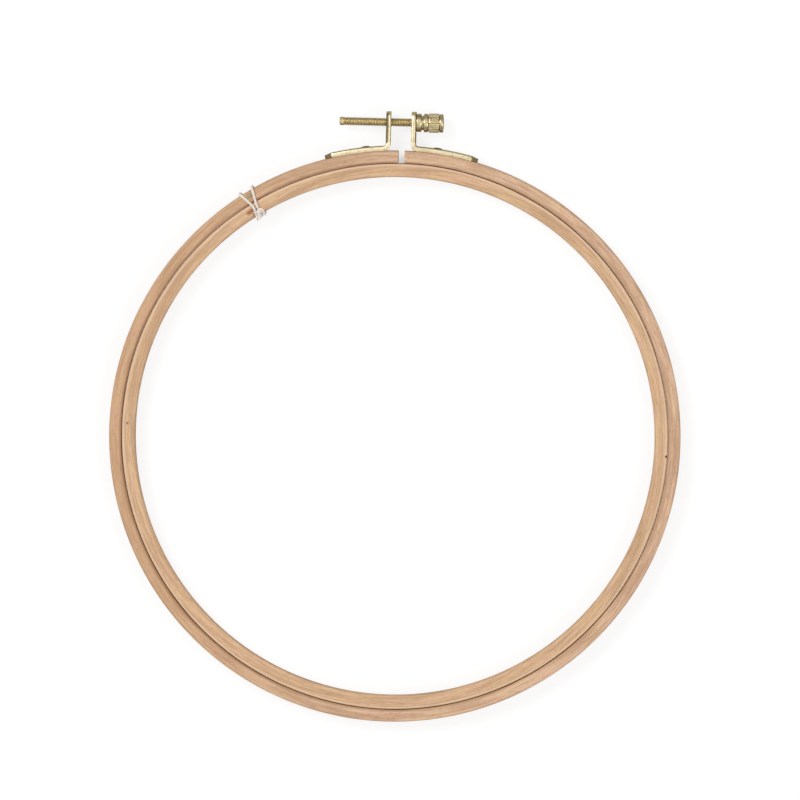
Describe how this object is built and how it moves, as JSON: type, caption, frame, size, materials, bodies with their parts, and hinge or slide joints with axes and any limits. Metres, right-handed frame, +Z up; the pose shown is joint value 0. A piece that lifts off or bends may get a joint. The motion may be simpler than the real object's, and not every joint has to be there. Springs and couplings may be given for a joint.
{
  "type": "embroidery hoop",
  "caption": "Round wooden embroidery hoop: a split outer ring, drawn together by a knurled brass screw on riveted brackets, grips an inner ring. A thread ties the rings together.",
  "frame": {"origin": "centre of both rings, on the flat underside that the rings share", "axes": "+Z up out of the rings' flat face, +Y towards the slit and its screw, +X along the screw towards its knob"},
  "size_m": [0.25, 0.2671, 0.0139],
  "materials": {
    "inner_wood": "sanded bare beech with a thin satin wax",
    "outer_wood": "sanded bare beech with a thin satin wax",
    "bracket_brass": "bright, slightly tarnished at the edges",
    "rivet_brass": "dark tarnished",
    "rod_brass": "bright rolled thread",
    "knob_brass": "bright turned and knurled",
    "cotton_thread": "matt twisted cotton"
  },
  "bodies": {
    "outer_hoop": {"outer_ring": "outer_wood", "bracket_left": "bracket_brass", "rivet_left": "rivet_brass", "string_tie": "cotton_thread"},
    "right_fitting": {"bracket_right": "bracket_brass", "rivet_right": "rivet_brass"},
    "screw": {"screw_rod": "rod_brass", "knob": "knob_brass"},
    "inner_hoop": {"inner_ring": "inner_wood"}
  },
  "joints": [
    {"name": "hoop_flex", "type": "hinge", "parent": "outer_hoop", "child": "right_fitting", "pos_m": [0, -0.1224, 0.00475], "axis": [0, 0, -1], "range_deg": [-0.12, 1.24], "deforming": ["outer_ring"]},
    {"name": "screw_turn", "type": "hinge", "parent": "right_fitting", "child": "screw", "pos_m": [0, 0.1374, 0.00475], "axis": [1, 0, 0], "range_deg": [-270, 2880]},
    {"name": "inner_lift", "type": "slide", "parent": "outer_hoop", "child": "inner_hoop", "axis": [0, 0, 1], "range_m": [0, 0.012], "deforming": ["string_tie"]}
  ],
  "couplings": [
    {"joint": "screw_turn", "follows": "hoop_flex", "ratio": 2332}
  ]
}
